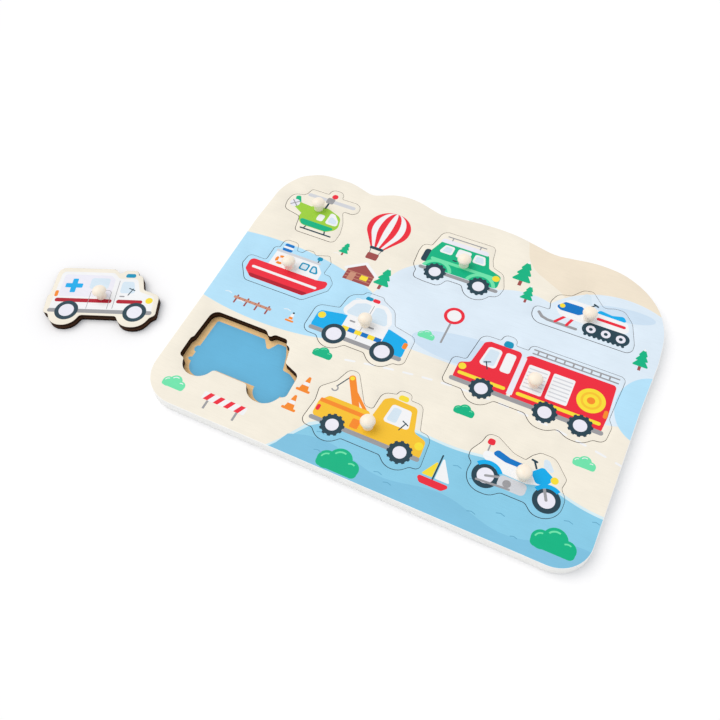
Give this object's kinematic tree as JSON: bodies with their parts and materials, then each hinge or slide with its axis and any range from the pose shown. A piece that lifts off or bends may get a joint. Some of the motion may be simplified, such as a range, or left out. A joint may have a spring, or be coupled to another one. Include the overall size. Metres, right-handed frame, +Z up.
{
  "type": "wooden peg puzzle",
  "caption": "Wavy-edged wooden board with pockets for flat rescue vehicles that lift out by round pegs; one vehicle lies beside its empty pocket.",
  "frame": {"origin": "middle of the board's underside", "axes": "+X along the board's long side, +Y to its wavy rear edge, +Z up through the pegs"},
  "size_m": [0.4154, 0.2343, 0.018],
  "materials": {
    "backing": "bare thin plywood with a white painted rim",
    "frame": "satin print over plywood, white painted rim",
    "peg": "turned bare beech, fine sanded",
    "helicopter": "satin print over plywood with a browned sawn edge",
    "rescue_boat": "satin print over plywood with a browned sawn edge",
    "police_car": "satin print over plywood with a browned sawn edge",
    "ambulance": "satin print over plywood with a browned sawn edge",
    "tow_truck": "satin print over plywood with a browned sawn edge",
    "off_roader": "satin print over plywood with a browned sawn edge",
    "snowmobile": "satin print over plywood with a browned sawn edge",
    "fire_engine": "satin print over plywood with a browned sawn edge",
    "motorcycle": "satin print over plywood with a browned sawn edge"
  },
  "bodies": {
    "board": {"base_panel": "backing", "frame_panel": "frame"},
    "helicopter": {"helicopter_piece": "helicopter", "helicopter_peg": "peg"},
    "rescue_boat": {"rescue_boat_piece": "rescue_boat", "rescue_boat_peg": "peg"},
    "police_car": {"police_car_piece": "police_car", "police_car_peg": "peg"},
    "ambulance": {"ambulance_piece": "ambulance", "ambulance_peg": "peg"},
    "tow_truck": {"tow_truck_piece": "tow_truck", "tow_truck_peg": "peg"},
    "off_roader": {"off_roader_piece": "off_roader", "off_roader_peg": "peg"},
    "snowmobile": {"snowmobile_piece": "snowmobile", "snowmobile_peg": "peg"},
    "fire_engine": {"fire_engine_piece": "fire_engine", "fire_engine_peg": "peg"},
    "motorcycle": {"motorcycle_piece": "motorcycle", "motorcycle_peg": "peg"}
  },
  "joints": [
    {"name": "helicopter_lift", "type": "slide", "parent": "board", "child": "helicopter", "axis": [0, 0, 1], "range_m": [0, 0.025]},
    {"name": "rescue_boat_lift", "type": "slide", "parent": "board", "child": "rescue_boat", "axis": [0, 0, 1], "range_m": [0, 0.025]},
    {"name": "police_car_lift", "type": "slide", "parent": "board", "child": "police_car", "axis": [0, 0, 1], "range_m": [0, 0.025]},
    {"name": "ambulance_lift", "type": "slide", "parent": "board", "child": "ambulance", "axis": [0, 0, 1], "range_m": [0, 0.025]},
    {"name": "tow_truck_lift", "type": "slide", "parent": "board", "child": "tow_truck", "axis": [0, 0, 1], "range_m": [0, 0.025]},
    {"name": "off_roader_lift", "type": "slide", "parent": "board", "child": "off_roader", "axis": [0, 0, 1], "range_m": [0, 0.025]},
    {"name": "snowmobile_lift", "type": "slide", "parent": "board", "child": "snowmobile", "axis": [0, 0, 1], "range_m": [0, 0.025]},
    {"name": "fire_engine_lift", "type": "slide", "parent": "board", "child": "fire_engine", "axis": [0, 0, 1], "range_m": [0, 0.025]},
    {"name": "motorcycle_lift", "type": "slide", "parent": "board", "child": "motorcycle", "axis": [0, 0, 1], "range_m": [0, 0.025]}
  ]
}
